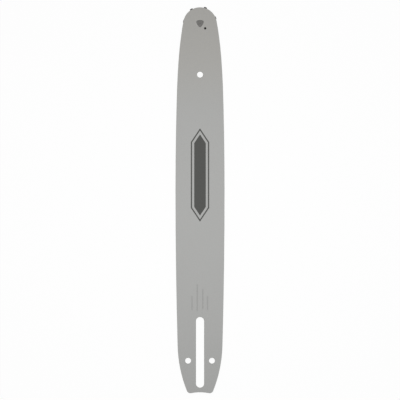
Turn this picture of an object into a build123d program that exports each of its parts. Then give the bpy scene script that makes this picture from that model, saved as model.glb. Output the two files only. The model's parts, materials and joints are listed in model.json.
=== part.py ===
from build123d import *
from math import asin, cos, pi, radians, sin
import os

# Chainsaw guide bar: three welded plates with a seven-tooth sprocket on a roller bearing in the nose
# All sizes are in millimetres and angles in degrees
# The bar lies flat with its back face at z = 0 and its nose towards +Y
# The origin is in the middle of the stud slot

# Outline
bar_length = 400.0  # nose tip to the tail corners, before they are rounded
belly_width = 50.7  # across the widest part
belly_from_nose = 189.0
shoulder_taper = 1.15  # drawn in from the belly on each edge, where the edge starts to turn towards the nose
shoulder_from_nose = 100.0
nose_radius = 17.4
nose_arc_end = 10.8  # angle above square at which the nose arc meets the edge
heel_taper = 2.2  # drawn in from the belly on each edge, where the edge starts to turn towards the tail
heel_from_slot_centre = 6.3
tail_width = 24.6  # across the tail corners, before they are rounded
tail_hollow = 1.65  # depth of the hollow in the tail end
tail_corner_radius = 3.9

# Plates
side_plate_thickness = 1.3
core_thickness = 1.2  # also the width of the chain groove
groove_depth = 6.2
edge_break = 0.25  # bevel round the outer face of each side plate

# Stud slot and holes
slot_width = 8.5
slot_length = 73.3
slot_to_tail = 6.2  # from the end of the slot to the tail corners
tensioner_hole_diameter = 6.2
tensioner_hole_spacing = 24.7
tensioner_holes_behind_centre = 8.65
oil_notch_width = 3.0  # passage in the core from each tensioner hole to the groove
hang_hole_diameter = 6.3
hang_hole_from_nose = 69.6

# Nose bearing, from the middle outwards
sprocket_from_nose = 16.4  # from its axis to the nose tip
race_radius = 6.5
roller_diameter = 2.0
roller_spacing = 0.04  # least room between neighbouring rollers
roller_edge_break = 0.1
bearing_clearance = 0.03  # between the rollers and each track
grease_hole_diameter = 2.2
grease_hole_angle = -45.0

# Nose sprocket
sprocket_teeth = 7
sprocket_rim = 4.2  # metal between the bore and the bottom of each gullet
tooth_height = 4.85  # above the bottom of each gullet
tooth_tip_width = 3.1
tooth_tip_rounding = 0.7
first_tooth_angle = 19.2
sprocket_side_clearance = 0.1
sprocket_pocket_clearance = 0.7  # from the tooth tips to the core

# Nose rivets
rivet_count = 3
rivet_diameter = 3.0
rivet_head_rim = 0.35  # the head stands this far out round the shank
rivet_head_gap = 0.28  # between neighbouring heads
rivet_sink = 0.05  # heads below the faces of the bar
rivet_clearance = 0.02
first_rivet_angle = 30.0

# Heights and stations worked out from the sizes above
core_bottom = side_plate_thickness
core_top = core_bottom + core_thickness
bar_thickness = core_top + side_plate_thickness
tail_station = -(slot_length / 2 + slot_to_tail)
nose_tip = tail_station + bar_length
nose_centre = (0, nose_tip - nose_radius)
sprocket_station = nose_tip - sprocket_from_nose
hang_hole_centre = (0, nose_tip - hang_hole_from_nose)
tensioner_row_centre = (0, -tensioner_holes_behind_centre)
oil_notch_length = belly_width / 2  # from the middle of the hole to well past the groove

# Bearing and sprocket sizes worked out from the sizes above
roller_radius = roller_diameter / 2
roller_circle_radius = race_radius + bearing_clearance + roller_radius
roller_pitch = roller_diameter + roller_spacing
roller_count = int(pi / asin(roller_pitch / (2 * roller_circle_radius)))
bore_radius = roller_circle_radius + roller_radius + bearing_clearance
root_radius = bore_radius + sprocket_rim
tip_radius = root_radius + tooth_height
pocket_radius = tip_radius + sprocket_pocket_clearance
sprocket_bottom = core_bottom + sprocket_side_clearance
sprocket_thickness = core_thickness - 2 * sprocket_side_clearance

# Each gullet is an arc from one tooth tip down to the root circle and up to the next tip
half_tooth_pitch = 180 / sprocket_teeth
half_tip_angle = asin(tooth_tip_width / (2 * tip_radius))
half_gullet_angle = radians(half_tooth_pitch) - half_tip_angle
tip_corner_reach = tip_radius * cos(half_gullet_angle)
gullet_circle_radius = (tip_radius**2 - root_radius**2) / (2 * (tip_corner_reach - root_radius))
gullet_radius = gullet_circle_radius - root_radius

# Rivet sizes worked out from the sizes above
rivet_radius = rivet_diameter / 2
rivet_hole_radius = rivet_radius + rivet_clearance
rivet_head_radius = rivet_radius + rivet_head_rim
rivet_circle_radius = (2 * rivet_head_radius + rivet_head_gap) / (2 * sin(pi / rivet_count))
rivet_length = bar_thickness - 2 * rivet_sink
countersink_radius = rivet_head_radius + rivet_sink + rivet_clearance
countersink_angle = 90

middle_plane = Plane.XY.offset(bar_thickness / 2)
nose_on_front_face = Plane((0, sprocket_station, bar_thickness))
nose_in_middle = Plane((0, sprocket_station, bar_thickness / 2))
nose_on_core_bottom = Plane((0, sprocket_station, core_bottom))
nose_on_sprocket_bottom = Plane((0, sprocket_station, sprocket_bottom))

os.makedirs("parts", exist_ok=True)


def finish(builder, name):
    """Label a finished piece and write it to its own file."""
    builder.part.label = name
    export_step(builder.part, f"parts/{name}.step")


def long_edges(inset):
    """Both long edges and the nose, drawn in by inset and left open at the tail."""
    belly = (belly_width / 2 - inset, nose_tip - belly_from_nose)
    shoulder = (belly_width / 2 - shoulder_taper - inset, nose_tip - shoulder_from_nose)
    heel = (belly_width / 2 - heel_taper - inset, heel_from_slot_centre)
    tail_corner = (tail_width / 2 - inset, tail_station)
    nose_arc_size = 180 - 2 * nose_arc_end
    with BuildLine() as edges:
        nose = CenterArc(nose_centre, nose_radius - inset, nose_arc_end, nose_arc_size, mode=Mode.PRIVATE)
        towards_shoulder = TangentArc(belly, shoulder, tangent=(0, 1))
        Spline(shoulder, nose @ 0, tangents=(towards_shoulder % 1, nose % 0))
        towards_heel = TangentArc(belly, heel, tangent=(0, -1))
        TangentArc(heel, tail_corner, tangent=towards_heel % 1)
        mirror(about=Plane.YZ)
        add(nose)
    return edges.line


# Flat shape of the bar, with a hollow tail end and rounded tail corners
with BuildSketch() as bar_shape:
    with BuildLine():
        add(long_edges(0))
        ThreePointArc(
            (-tail_width / 2, tail_station),
            (0, tail_station + tail_hollow),
            (tail_width / 2, tail_station),
        )
    make_face()
    fillet(bar_shape.vertices().group_by(Axis.Y)[0], tail_corner_radius)

# Flat shape between the two runs of the chain groove, flush with the bar at the tail
with BuildSketch() as shape_inside_groove:
    with BuildLine():
        add(long_edges(groove_depth))
        Line(
            (-tail_width / 2 + groove_depth, tail_station),
            (tail_width / 2 - groove_depth, tail_station),
        )
    make_face()
    add(bar_shape.sketch, mode=Mode.INTERSECT)

# Openings that go through all three plates
with BuildSketch() as through_openings:
    SlotOverall(slot_length, slot_width, rotation=90)
    with Locations(tensioner_row_centre):
        with GridLocations(tensioner_hole_spacing, 0, 2, 1):
            Circle(tensioner_hole_diameter / 2)
    with Locations(hang_hole_centre):
        Circle(hang_hole_diameter / 2)

# Front side plate
with BuildPart() as front_side_plate:
    with BuildSketch(Plane.XY.offset(core_top)):
        add(bar_shape.sketch)
        add(through_openings.sketch, mode=Mode.SUBTRACT)
    extrude(amount=side_plate_thickness)
    chamfer(front_side_plate.faces().sort_by(Axis.Z)[-1].edges(), edge_break)
    with Locations(nose_on_front_face):
        with PolarLocations(rivet_circle_radius, rivet_count, first_rivet_angle):
            CounterSinkHole(
                rivet_hole_radius,
                countersink_radius,
                depth=side_plate_thickness,
                counter_sink_angle=countersink_angle,
            )
        with PolarLocations(roller_circle_radius, 1, grease_hole_angle):
            Hole(grease_hole_diameter / 2, depth=side_plate_thickness)
finish(front_side_plate, "front_side_plate")

# Back side plate, the mirror image of the front one
with BuildPart() as back_side_plate:
    mirror(front_side_plate.part, about=middle_plane)
finish(back_side_plate, "back_side_plate")

# Core plate, which keeps the side plates apart and ends in a round pocket behind the sprocket
with BuildPart() as core_plate:
    with BuildSketch(Plane.XY.offset(core_bottom)):
        add(shape_inside_groove.sketch)
        add(through_openings.sketch, mode=Mode.SUBTRACT)
        with Locations(tensioner_row_centre):
            with GridLocations(tensioner_hole_spacing + oil_notch_length, 0, 2, 1):
                Rectangle(oil_notch_length, oil_notch_width, mode=Mode.SUBTRACT)
        with Locations((0, sprocket_station)):
            Circle(pocket_radius, mode=Mode.SUBTRACT)
    extrude(amount=core_thickness)
finish(core_plate, "core_plate")

# Nose sprocket
with BuildPart() as nose_sprocket:
    with BuildSketch(nose_on_sprocket_bottom) as sprocket_shape:
        Circle(tip_radius)
        with PolarLocations(gullet_circle_radius, sprocket_teeth, first_tooth_angle + half_tooth_pitch):
            Circle(gullet_radius, mode=Mode.SUBTRACT)
        fillet(sprocket_shape.vertices(), min(tooth_tip_rounding, tooth_tip_width / 4))
        Circle(bore_radius, mode=Mode.SUBTRACT)
    extrude(amount=sprocket_thickness)
finish(nose_sprocket, "nose_sprocket")

# Bearing race, clamped between the side plates by the rivets
with BuildPart() as bearing_race:
    with BuildSketch(nose_on_core_bottom):
        Circle(race_radius)
        with PolarLocations(rivet_circle_radius, rivet_count, first_rivet_angle):
            Circle(rivet_hole_radius, mode=Mode.SUBTRACT)
    extrude(amount=core_thickness)
finish(bearing_race, "bearing_race")

# Nose rivets, each with a countersunk head at both ends
with BuildPart(nose_in_middle) as nose_rivets:
    with PolarLocations(rivet_circle_radius, rivet_count, first_rivet_angle):
        Cylinder(rivet_radius, rivet_length)
        with Locations((0, 0, rivet_length / 2)):
            Cone(
                rivet_radius,
                rivet_head_radius,
                rivet_head_rim,
                align=(Align.CENTER, Align.CENTER, Align.MAX),
            )
    mirror(about=middle_plane)
finish(nose_rivets, "nose_rivets")

# Bearing rollers, a full ring of them
for number in range(roller_count):
    with BuildPart() as roller:
        with BuildSketch(nose_on_sprocket_bottom):
            with PolarLocations(roller_circle_radius, 1, grease_hole_angle + number * 360 / roller_count):
                Circle(roller_radius)
        extrude(amount=sprocket_thickness)
        chamfer(roller.edges().filter_by(GeomType.CIRCLE), roller_edge_break)
    finish(roller, f"roller_{number + 1:02d}")
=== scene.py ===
"""Looks of the chainsaw guide bar: paint, steel, grease, print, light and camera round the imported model."""

import json
import math

import bmesh
import bpy
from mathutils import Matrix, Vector


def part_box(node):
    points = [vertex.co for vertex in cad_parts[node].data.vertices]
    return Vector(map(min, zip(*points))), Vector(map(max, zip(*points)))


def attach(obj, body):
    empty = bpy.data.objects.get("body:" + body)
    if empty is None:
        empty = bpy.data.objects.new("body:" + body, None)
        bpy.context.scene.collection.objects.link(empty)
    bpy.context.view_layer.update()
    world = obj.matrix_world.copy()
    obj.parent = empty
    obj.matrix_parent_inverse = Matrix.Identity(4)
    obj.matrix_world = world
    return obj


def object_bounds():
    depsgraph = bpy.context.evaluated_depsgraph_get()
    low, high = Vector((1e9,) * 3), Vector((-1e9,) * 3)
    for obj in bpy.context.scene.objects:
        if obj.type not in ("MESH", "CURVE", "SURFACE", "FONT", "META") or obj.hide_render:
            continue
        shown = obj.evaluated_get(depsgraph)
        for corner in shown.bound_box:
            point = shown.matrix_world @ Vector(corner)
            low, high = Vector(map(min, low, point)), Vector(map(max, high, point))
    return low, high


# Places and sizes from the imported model, in metres as everywhere below
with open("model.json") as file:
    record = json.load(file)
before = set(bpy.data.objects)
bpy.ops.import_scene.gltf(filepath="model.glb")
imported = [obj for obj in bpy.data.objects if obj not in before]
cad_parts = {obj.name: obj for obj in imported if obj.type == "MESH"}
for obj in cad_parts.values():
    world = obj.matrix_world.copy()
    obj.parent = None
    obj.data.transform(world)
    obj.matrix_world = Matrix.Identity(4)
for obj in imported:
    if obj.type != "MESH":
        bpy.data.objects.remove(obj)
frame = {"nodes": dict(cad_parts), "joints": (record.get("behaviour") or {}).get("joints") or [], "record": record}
cad_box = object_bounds()
nodes = frame["nodes"]
joints = {joint["name"]: joint for joint in frame["joints"]}
mounts = {mount["name"]: mount for mount in frame["record"]["mounts"]}
nose_centre = Vector(joints["sprocket_spin"]["pos_m"])
grease_hole_centre = Vector(mounts["grease_hole"]["pos_m"])
grease_hole_radius = mounts["grease_hole"]["dims"]["r_mm"] / 1000
front_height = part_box("front_side_plate")[1].z

# Framing of the photograph, which looks straight down on the bar
PHOTO_PIXELS = 400
METRES_PER_PIXEL = 0.0010347
SLOT_CENTRE_PIXEL = (200.03, 352.47)
CAMERA_LENS = 200.0  # in millimetres, like the sensor
CAMERA_SENSOR = 36.0

# Light and floor
KEY_HEIGHT = 0.55  # above the middle of the picture
KEY_SIZE = 0.45
KEY_POWER = 1.93
WORLD_STRENGTH = 0.35
FLOOR_SIZE = 40.0
FLOOR_DROP = 0.00005  # below the bar
FLOOR_GLOW = 0.94  # share of the floor that is plain white to a camera, so that shadows stay faint

# Colours, as linear values
WHITE = (1.0, 1.0, 1.0, 1.0)
PAINT_COLOUR = (0.378, 0.380, 0.370, 1.0)
PAINT_DARK_COLOUR = (0.368, 0.370, 0.360, 1.0)
PAINT_NOSE_COLOUR = (0.372, 0.365, 0.344, 1.0)
BARE_STEEL_COLOUR = (0.40, 0.395, 0.38, 1.0)
DULL_STEEL_COLOUR = (0.27, 0.262, 0.25, 1.0)
PATCH_STEEL_COLOUR = (0.1, 0.098, 0.094, 1.0)
CORE_COLOUR = (0.22, 0.215, 0.205, 1.0)
SPROCKET_COLOUR = (0.028, 0.0275, 0.0265, 1.0)
RIVET_COLOUR = (0.106, 0.104, 0.1, 1.0)
# Roller steel, darkened as painted shade so that the grease hole shows dark
ROLLER_COLOUR = (0.015, 0.0145, 0.0135, 1.0)
# Grease, which also stands as painted shade on the wall of the grease hole
GREASE_AND_HOLE_SHADE_COLOUR = (0.004, 0.0037, 0.0032, 1.0)
INK_COLOUR = (0.098, 0.099, 0.094, 1.0)
ETCHED_COLOUR = (0.348, 0.35, 0.341, 1.0)

# Textures, where a count is of features to the metre, a bump is their height, and noise runs from 0 to 1
PLAIN_DETAIL = 2.0  # layers of finer noise in each noise
CLOUDY_DETAIL = 3.0
SPOT_DETAIL = 4.0
FINE_BUMP_STRENGTH = 0.5  # on plain steel, thin grease and ink

# Paint on the outer faces of the side plates
CLOUD_COUNT = 28
NOSE_TINT_REACH = (0.105, 0.025)  # how far behind the middle of the nose the tint starts and is full
GRAIN_COUNT = 1500
GRAIN_NOISE = (0.3, 0.7)
GRAIN_SHADES = (0.955, 1.045)
GRAIN_ROUGHNESS = (0.4, 0.5)
DIMPLE_COUNT = 700
PIT_COUNT = 2600
PAINT_BUMP = 0.00002

# Bare steel on the edges and walls of the side plates
WEAR_COUNT = 420
WEAR_NOISE = (0.4, 0.6)
WEAR_FACING = (0.55, 0.95)  # what looks outwards by less than this is wholly bare
STREAK_COUNT = 45
STREAK_SQUEEZE = (1.0, 1.0, 110.0)
STREAK_NOISE = (0.35, 0.65)

# Dark patch that fills the space between the rivets, a triangle with round corners
RIVET_ANGLES = (30, 150, 270)  # in degrees
PATCH_SIDE_REACH = 0.0036  # from the middle to each side
PATCH_CORNER_REACH = 0.0038  # from the middle to each corner
PATCH_CORNER_BLEND = 0.0012
PATCH_RAGGED = 0.0004
PATCH_RAGGED_COUNT = 900
PATCH_SOFTNESS = 0.0005

# Painted shade on the wall of the grease hole, and grease smeared from it on the face round it
SMEAR_WIDTH = 0.0005  # on the face round the hole
SMEAR_STRENGTH = 0.45  # on the face, where the wall of the hole has 1
WALL_SHADE_TO_SMEAR_FACING = (0.2, 0.8)  # from what counts as wall to what counts as face

# Plain steel
CORE_ROUGHNESS = 0.42
CORE_SPOT_COUNT = 90
SPROCKET_ROUGHNESS = 0.4
SPROCKET_SPOT_COUNT = 300
RIVET_ROUGHNESS = 0.46
RIVET_SPOT_COUNT = 900
SPOT_NOISE = (0.35, 0.75)
SPOT_SHADE = 0.7
LINE_COUNT = 60
LINE_SQUEEZE = (1.0, 18.0, 18.0)
LINE_NOISE = (0.2, 0.8)
LINE_ROUGHNESS = (-0.06, 0.08)  # added to the roughness of the steel
STEEL_BUMP = 0.000008

# Grease on the bearing, in a thin uneven coat on the steel and in thick lumps between the rollers
COAT_COUNT = 700
COAT_NOISE = (0.3, 0.5)
COAT_ROUGHNESS = (0.45, 0.9)
COAT_GLOSS = 0.1
COAT_BUMP = 0.00003
LUMP_COUNT = 1200
LUMP_NOISE = (0.3, 0.7)
LUMP_ROUGHNESS = (0.5, 0.75)
LUMP_GLOSS = 0.2
LUMP_BUMP = 0.00005
LUMP_BUMP_STRENGTH = 0.6

# Printed ink and etching
INK_GLOSS = 0.1
ETCHED_GLOSS = 0.5
INK_CLOUD_COUNT = 60
INK_CLOUD_SHADE = 1.06
INK_GRAIN_COUNT = 1100
INK_GRAIN_NOISE = (0.25, 0.75)
INK_GRAIN_SHADES = (0.94, 1.06)
INK_ROUGHNESS = (0.7, 0.8)
INK_PIT_COUNT = 900
INK_BUMP = 0.000008

# Ring of grease between the bearing rollers, kept off the tracks and plates
GREASE_WIDTH = 0.0019
GREASE_HEIGHT = 0.0006
GREASE_STEPS = 96

# Printed panel, a long hexagon with a thin line round it
PANEL_CENTRE_PIXEL = (200, 175)
PANEL_LENGTH = 0.084
PANEL_WIDTH = 0.012
PANEL_END_SLOPE = 1.5
PANEL_LINE_MARGIN = 0.0022  # from the panel to the line
PANEL_LINE_WIDTH = 0.0013
FILM_THICKNESS = 0.00003

# Faint etched lines above the slot: pixel across, and first and last pixel along
ETCHED_LINES = {
    "etched_line_1": (192.0, 296, 310),
    "etched_line_2": (197.2, 284, 311),
    "etched_line_3": (202.8, 289, 309),
    "etched_line_4": (207.6, 296, 310),
}
ETCHED_WIDTH = 0.0012


def photo_place(pixel):
    """Place on the bar's front face, in metres, that a pixel of the photograph shows."""
    across = (pixel[0] - SLOT_CENTRE_PIXEL[0]) * METRES_PER_PIXEL
    along = (SLOT_CENTRE_PIXEL[1] - pixel[1]) * METRES_PER_PIXEL
    return Vector((across, along, front_height))


def above_picture(height):
    """Place at a height above the middle of the picture."""
    return photo_place((PHOTO_PIXELS / 2, PHOTO_PIXELS / 2)) + Vector((0.0, 0.0, height))


def toned(colour, share):
    """Colour made darker or paler, with its alpha kept."""
    red, green, blue, alpha = colour
    return (share * red, share * green, share * blue, alpha)


class Graph:
    """Short ways to add nodes to a node tree."""

    def __init__(self, tree):
        self.tree = tree

    def add(self, kind, inputs=None, **settings):
        """A new node, with its settings, and its inputs linked or set."""
        node = self.tree.nodes.new(kind)
        for name, value in settings.items():
            setattr(node, name, value)
        for name, value in (inputs or {}).items():
            self.give(node.inputs[name], value)
        return node

    def give(self, socket, value):
        """Link an output to this input, or set it to a plain value."""
        if isinstance(value, bpy.types.NodeSocket):
            self.tree.links.new(value, socket)
        else:
            socket.default_value = value

    def math(self, operation, first, second, third=0.0):
        """Result of an operation on numbers."""
        node = self.add("ShaderNodeMath", {0: first, 1: second, 2: third}, operation=operation)
        return node.outputs["Value"]

    def vector(self, operation, first, second=(0.0, 0.0, 0.0), output="Vector"):
        """Result of an operation on vectors."""
        node = self.add("ShaderNodeVectorMath", {0: first, 1: second}, operation=operation)
        return node.outputs[output]

    def axis(self, vector, name):
        """One of the X, Y and Z parts of a vector."""
        return self.add("ShaderNodeSeparateXYZ", {"Vector": vector}).outputs[name]

    def ramp(self, value, start, end=(0.0, 1.0)):
        """Value carried from the range start to the range end, with soft ends, and held past them."""
        inputs = {"Value": value}
        inputs["From Min"], inputs["From Max"] = start
        inputs["To Min"], inputs["To Max"] = end
        node = self.add("ShaderNodeMapRange", inputs, interpolation_type="SMOOTHSTEP")
        return node.outputs["Result"]

    def seen_directly(self):
        """1 for rays from a camera and for rays that metal or glass sends on, and 0 for diffuse light."""
        path = self.add("ShaderNodeLightPath").outputs
        seen = self.math("MAXIMUM", path["Is Camera Ray"], path["Is Glossy Ray"])
        return self.math("MAXIMUM", seen, path["Is Transmission Ray"])


class Recipe(Graph):
    """A material with a Principled shader."""

    def __init__(self, name):
        self.material = bpy.data.materials.new(name)
        self.material.use_nodes = True
        super().__init__(self.material.node_tree)
        self.shader = self.tree.nodes["Principled BSDF"]
        self.place = self.add("ShaderNodeTexCoord").outputs["Object"]

    def set(self, **inputs):
        """Set or link inputs of the shader, named with underscores for spaces."""
        for name, value in inputs.items():
            self.give(self.shader.inputs[name.replace("_", " ")], value)

    def noise(self, count, detail=PLAIN_DETAIL, squeeze=(1.0, 1.0, 1.0)):
        """Noise between 0 and 1 with a count of features to the metre, squeezed along each axis."""
        place = self.vector("MULTIPLY", self.place, squeeze)
        node = self.add("ShaderNodeTexNoise", {"Vector": place, "Scale": count, "Detail": detail})
        return node.outputs["Fac"]

    def mix(self, share, first, second):
        """Colour that goes from first to second as share goes from 0 to 1."""
        node = self.add("ShaderNodeMix", {"Factor": share}, data_type="RGBA")
        start, end = [socket for socket in node.inputs if socket.type == "RGBA"]
        self.give(start, first)
        self.give(end, second)
        return next(socket for socket in node.outputs if socket.type == "RGBA")

    def shade(self, colour, share):
        """Colour multiplied by a varying share."""
        node = self.add("ShaderNodeVectorMath", {0: colour, "Scale": share}, operation="SCALE")
        return node.outputs["Vector"]

    def bump(self, height, distance, strength=1.0):
        """Surface normal from a height between 0 and 1 that stands for a distance in metres."""
        inputs = {"Height": height, "Distance": distance, "Strength": strength}
        return self.add("ShaderNodeBump", inputs).outputs["Normal"]

    def flat_offset(self, centre):
        """Offset from a centre, as seen from straight above."""
        return self.vector("MULTIPLY", self.vector("SUBTRACT", self.place, centre), (1.0, 1.0, 0.0))

    def length(self, vector):
        """Length of a vector."""
        return self.vector("LENGTH", vector, output="Value")


def rivet_patch(recipe):
    """1 on the patch round the three rivets, and 0 on the paint."""
    offset = recipe.flat_offset(nose_centre)
    reach = recipe.math("SUBTRACT", recipe.length(offset), PATCH_CORNER_REACH - PATCH_SIDE_REACH)
    for angle in RIVET_ANGLES:
        turn = math.radians(angle)
        away_from_rivet = (-math.cos(turn), -math.sin(turn), 0.0)
        distance = recipe.vector("DOT_PRODUCT", offset, away_from_rivet, "Value")
        reach = recipe.math("SMOOTH_MAX", reach, distance, PATCH_CORNER_BLEND)
    ragged = recipe.math("MULTIPLY", recipe.noise(PATCH_RAGGED_COUNT), PATCH_RAGGED)
    reach = recipe.math("ADD", reach, ragged)
    return recipe.ramp(reach, (PATCH_SIDE_REACH, PATCH_SIDE_REACH + PATCH_SOFTNESS), (1.0, 0.0))


def hole_shade_and_grease_smear(recipe, facing):
    """1 on the wall of the grease hole, where it is painted shade, less on the face round it, where it is a grease
    smear, and 0 elsewhere.
    """
    distance = recipe.length(recipe.flat_offset(grease_hole_centre))
    near = recipe.ramp(distance, (grease_hole_radius, grease_hole_radius + SMEAR_WIDTH), (1.0, 0.0))
    return recipe.math("MULTIPLY", near, recipe.ramp(facing, WALL_SHADE_TO_SMEAR_FACING, (1.0, SMEAR_STRENGTH)))


def paint_colour(recipe, grain):
    """Colour of the paint, with faint clouds and grain and a warmer tint towards the nose."""
    colour = recipe.mix(recipe.noise(CLOUD_COUNT, CLOUDY_DETAIL), PAINT_DARK_COLOUR, PAINT_COLOUR)
    tint_range = [nose_centre.y - reach for reach in NOSE_TINT_REACH]
    tint = recipe.ramp(recipe.axis(recipe.place, "Y"), tint_range)
    colour = recipe.mix(tint, colour, PAINT_NOSE_COLOUR)
    return recipe.shade(colour, recipe.ramp(grain, GRAIN_NOISE, GRAIN_SHADES))


def side_plate_paint(name, outwards):
    """Satin grey paint on the face that looks outwards, and bare steel on the edges and inside."""
    recipe = Recipe(name)
    upwards = recipe.axis(recipe.add("ShaderNodeNewGeometry").outputs["Normal"], "Z")
    facing = recipe.math("MULTIPLY", upwards, outwards)
    grain = recipe.noise(GRAIN_COUNT)
    streaks = recipe.noise(STREAK_COUNT, CLOUDY_DETAIL, STREAK_SQUEEZE)

    wear = recipe.ramp(recipe.noise(WEAR_COUNT, CLOUDY_DETAIL), WEAR_NOISE, WEAR_FACING)
    bare = recipe.ramp(facing, (wear, 1.0), (1.0, 0.0))
    # Dark steel on the patch round the rivets
    dark_patch = rivet_patch(recipe)
    # Painted shade on the wall of the grease hole, and a grease smear on the face round it
    grease = hole_shade_and_grease_smear(recipe, facing)
    metal = recipe.math("MAXIMUM", bare, dark_patch)

    steel_colour = recipe.mix(recipe.ramp(streaks, STREAK_NOISE), DULL_STEEL_COLOUR, BARE_STEEL_COLOUR)
    steel_colour = recipe.mix(dark_patch, steel_colour, PATCH_STEEL_COLOUR)
    colour = recipe.mix(metal, paint_colour(recipe, grain), steel_colour)
    texture = recipe.math("ADD", recipe.noise(DIMPLE_COUNT), recipe.noise(PIT_COUNT))
    recipe.set(
        # Grease colour as painted shade on the wall of the hole, and as a grease smear on the face round it
        Base_Color=recipe.mix(grease, colour, GREASE_AND_HOLE_SHADE_COLOUR),
        Metallic=recipe.math("MULTIPLY", metal, recipe.math("SUBTRACT", 1.0, grease)),
        Roughness=recipe.math("MAXIMUM", recipe.ramp(grain, GRAIN_NOISE, GRAIN_ROUGHNESS), grease),
        Normal=recipe.bump(recipe.math("ADD", texture, streaks), PAINT_BUMP),
    )
    return recipe.material


def steel(name, colour, roughness, spot_count):
    """Plain steel with fine grinding lines and darker spots."""
    recipe = Recipe(name)
    spots = recipe.ramp(recipe.noise(spot_count, SPOT_DETAIL), SPOT_NOISE)
    lines = recipe.noise(LINE_COUNT, squeeze=LINE_SQUEEZE)
    line_roughness = [roughness + change for change in LINE_ROUGHNESS]
    recipe.set(
        Base_Color=recipe.mix(spots, colour, toned(colour, SPOT_SHADE)),
        Metallic=1.0,
        Roughness=recipe.ramp(lines, LINE_NOISE, line_roughness),
        Normal=recipe.bump(lines, STEEL_BUMP, FINE_BUMP_STRENGTH),
    )
    return recipe.material


def greased_steel(name):
    """Bearing steel under dark grease that lies thicker in places, the steel itself darkened as painted shade so
    that the grease hole shows dark.
    """
    recipe = Recipe(name)
    coat = recipe.ramp(recipe.noise(COAT_COUNT, CLOUDY_DETAIL), COAT_NOISE)
    recipe.set(
        Base_Color=recipe.mix(coat, ROLLER_COLOUR, GREASE_AND_HOLE_SHADE_COLOUR),
        Metallic=recipe.math("SUBTRACT", 1.0, coat),
        Roughness=recipe.ramp(coat, (0.0, 1.0), COAT_ROUGHNESS),
        Specular_IOR_Level=COAT_GLOSS,
        Normal=recipe.bump(coat, COAT_BUMP, FINE_BUMP_STRENGTH),
    )
    return recipe.material


def thick_grease(name):
    """Dark lumpy grease."""
    recipe = Recipe(name)
    lumps = recipe.noise(LUMP_COUNT, CLOUDY_DETAIL)
    recipe.set(
        Base_Color=recipe.mix(lumps, GREASE_AND_HOLE_SHADE_COLOUR, ROLLER_COLOUR),
        Roughness=recipe.ramp(lumps, LUMP_NOISE, LUMP_ROUGHNESS),
        Specular_IOR_Level=LUMP_GLOSS,
        Normal=recipe.bump(lumps, LUMP_BUMP, LUMP_BUMP_STRENGTH),
    )
    return recipe.material


def ink(name, colour, gloss):
    """Matt screen print or etching, a little uneven."""
    recipe = Recipe(name)
    clouds = recipe.mix(recipe.noise(INK_CLOUD_COUNT), colour, toned(colour, INK_CLOUD_SHADE))
    grain = recipe.ramp(recipe.noise(INK_GRAIN_COUNT, CLOUDY_DETAIL), INK_GRAIN_NOISE, INK_GRAIN_SHADES)
    recipe.set(
        Base_Color=recipe.shade(clouds, grain),
        Roughness=recipe.ramp(grain, INK_GRAIN_SHADES, INK_ROUGHNESS),
        Specular_IOR_Level=gloss,
        Normal=recipe.bump(recipe.noise(INK_PIT_COUNT), INK_BUMP, FINE_BUMP_STRENGTH),
    )
    return recipe.material


def white_floor(name):
    """White floor that is plain white to a camera, with faint shadows."""
    recipe = Recipe(name)
    recipe.set(Base_Color=WHITE, Roughness=1.0, Specular_IOR_Level=0.0)
    glow = recipe.add("ShaderNodeEmission", {"Color": WHITE, "Strength": 1.0})
    share = recipe.math("MULTIPLY", recipe.seen_directly(), FLOOR_GLOW)
    both = recipe.add("ShaderNodeMixShader", {0: share, 1: recipe.shader.outputs[0], 2: glow.outputs[0]})
    recipe.give(recipe.tree.nodes["Material Output"].inputs["Surface"], both.outputs[0])
    return recipe.material


def dress(names, material):
    """Give CAD nodes this material in place of their plain one."""
    for name in names:
        for slot in nodes[name].material_slots:
            slot.material = material


def new_object(name, data):
    """A new object in the scene."""
    item = bpy.data.objects.new(name, data)
    bpy.context.scene.collection.objects.link(item)
    return item


def mesh_object(name, mesh, material):
    """A new object in the scene from a finished mesh."""
    data = bpy.data.meshes.new(name)
    mesh.to_mesh(data)
    mesh.free()
    data.materials.append(material)
    return new_object(name, data)


def add_piece(name, mesh, material, body):
    """Make a piece of a closed mesh, which rides on a body and has the given material."""
    bmesh.ops.recalc_face_normals(mesh, faces=mesh.faces)
    piece = mesh_object(name, mesh, material)
    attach(piece, body)


def bearing_grease(name, material):
    """Ring of grease between the rollers, which goes round with them."""
    middle = Vector((nose_centre.x, nose_centre.y, front_height / 2))
    circle = (grease_hole_centre - nose_centre).xy.length
    section = []
    for across, up in ((-1, -1), (1, -1), (1, 1), (-1, 1)):
        section.append((circle + across * GREASE_WIDTH / 2, up * GREASE_HEIGHT / 2))
    mesh = bmesh.new()
    rings = []
    for step in range(GREASE_STEPS):
        turn = math.tau * step / GREASE_STEPS
        ring = []
        for reach, height in section:
            offset = Vector((reach * math.cos(turn), reach * math.sin(turn), height))
            ring.append(mesh.verts.new(middle + offset))
        rings.append(ring)
    for step in range(GREASE_STEPS):
        before, after = rings[step - 1], rings[step]
        for corner in range(len(section)):
            mesh.faces.new([before[corner - 1], before[corner], after[corner], after[corner - 1]])
    add_piece(name, mesh, material, "rollers")


def film(name, outline, material, hole=None):
    """A thin flat film on the front face. A hole in it has as many corners as its outline."""
    mesh = bmesh.new()
    outer = [mesh.verts.new((x, y, front_height)) for x, y in outline]
    if hole:
        inner = [mesh.verts.new((x, y, front_height)) for x, y in hole]
        for corner in range(len(outer)):
            mesh.faces.new([outer[corner - 1], outer[corner], inner[corner], inner[corner - 1]])
    else:
        mesh.faces.new(outer)
    raised = bmesh.ops.extrude_face_region(mesh, geom=mesh.faces[:])
    top = [item for item in raised["geom"] if isinstance(item, bmesh.types.BMVert)]
    bmesh.ops.translate(mesh, verts=top, vec=(0.0, 0.0, FILM_THICKNESS))
    add_piece(name, mesh, material, "bar")


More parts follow.
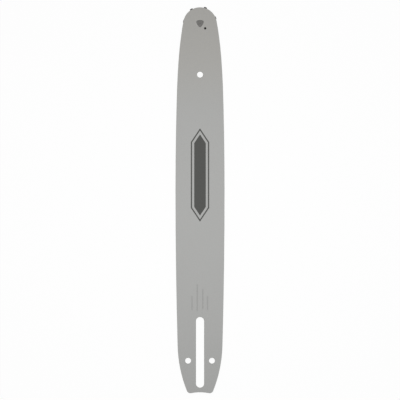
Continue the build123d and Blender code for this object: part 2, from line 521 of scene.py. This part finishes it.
def panel_outline(margin):
    """Corners of the printed panel, moved out by a margin all round."""
    middle = photo_place(PANEL_CENTRE_PIXEL)
    side = PANEL_WIDTH / 2 + margin
    point = PANEL_LENGTH / 2 + margin * math.hypot(1.0, PANEL_END_SLOPE)
    outline = []
    for end in (1, -1):
        for across in (-side * end, 0.0, side * end):
            reach = point - PANEL_END_SLOPE * abs(across)
            outline.append((middle.x + across, middle.y + end * reach))
    return outline


def etched_line(name, across, first, last, material):
    """A straight line along the bar."""
    start = photo_place((across, first))
    end = photo_place((across, last))
    left = start.x - ETCHED_WIDTH / 2
    right = start.x + ETCHED_WIDTH / 2
    film(name, [(left, start.y), (right, start.y), (right, end.y), (left, end.y)], material)


def add_floor():
    """Large flat floor just under the bar."""
    mesh = bmesh.new()
    bmesh.ops.create_grid(mesh, x_segments=1, y_segments=1, size=FLOOR_SIZE / 2)
    floor = mesh_object("floor", mesh, white_floor("white_floor"))
    floor.location.z = cad_box[0].z - FLOOR_DROP


def add_key_light():
    """Soft square light straight above the bar, out of sight of a camera."""
    light = bpy.data.lights.new("key", "AREA")
    light.shape = "SQUARE"
    light.size = KEY_SIZE
    light.energy = KEY_POWER
    holder = new_object("key", light)
    holder.location = above_picture(KEY_HEIGHT)
    holder.visible_camera = False


def set_world():
    """Soft light from all round, which a camera, metal and glass see as plain white."""
    world = bpy.data.worlds.new("studio")
    world.use_nodes = True
    bpy.context.scene.world = world
    graph = Graph(world.node_tree)
    strength = graph.ramp(graph.seen_directly(), (0.0, 1.0), (WORLD_STRENGTH, 1.0))
    background = world.node_tree.nodes["Background"]
    graph.give(background.inputs["Color"], WHITE)
    graph.give(background.inputs["Strength"], strength)


def add_camera():
    """Camera that looks straight down from where the picture's frame fits the photograph's."""
    camera = bpy.data.cameras.new("photo_camera")
    camera.lens = CAMERA_LENS
    camera.sensor_width = CAMERA_SENSOR
    holder = new_object("photo_camera", camera)
    holder.location = above_picture(PHOTO_PIXELS * METRES_PER_PIXEL * CAMERA_LENS / CAMERA_SENSOR)
    bpy.context.scene.camera = holder


# Materials of the CAD nodes
dress(["front_side_plate"], side_plate_paint("front_paint", 1.0))
dress(["back_side_plate"], side_plate_paint("back_paint", -1.0))
dress(["core_plate"], steel("core_steel", CORE_COLOUR, CORE_ROUGHNESS, CORE_SPOT_COUNT))
dress(["nose_sprocket"], steel("sprocket_steel", SPROCKET_COLOUR, SPROCKET_ROUGHNESS, SPROCKET_SPOT_COUNT))
dress(["nose_rivets"], steel("rivet_steel", RIVET_COLOUR, RIVET_ROUGHNESS, RIVET_SPOT_COUNT))
rollers = [name for name in nodes if name.startswith("roller_")]
dress(["bearing_race", *rollers], greased_steel("greased_steel"))

# Grease, print and etching
bearing_grease("bearing_grease", thick_grease("thick_grease"))
panel_ink = ink("panel_ink", INK_COLOUR, INK_GLOSS)
line_inside = panel_outline(PANEL_LINE_MARGIN)
line_outside = panel_outline(PANEL_LINE_MARGIN + PANEL_LINE_WIDTH)
film("printed_panel", panel_outline(0.0), panel_ink)
film("printed_line", line_outside, panel_ink, line_inside)
etching = ink("etching", ETCHED_COLOUR, ETCHED_GLOSS)
for name, (across, first, last) in ETCHED_LINES.items():
    etched_line(name, across, first, last, etching)

# Floor, light and camera
add_floor()
add_key_light()
set_world()
add_camera()
bpy.context.scene.view_settings.view_transform = "Standard"
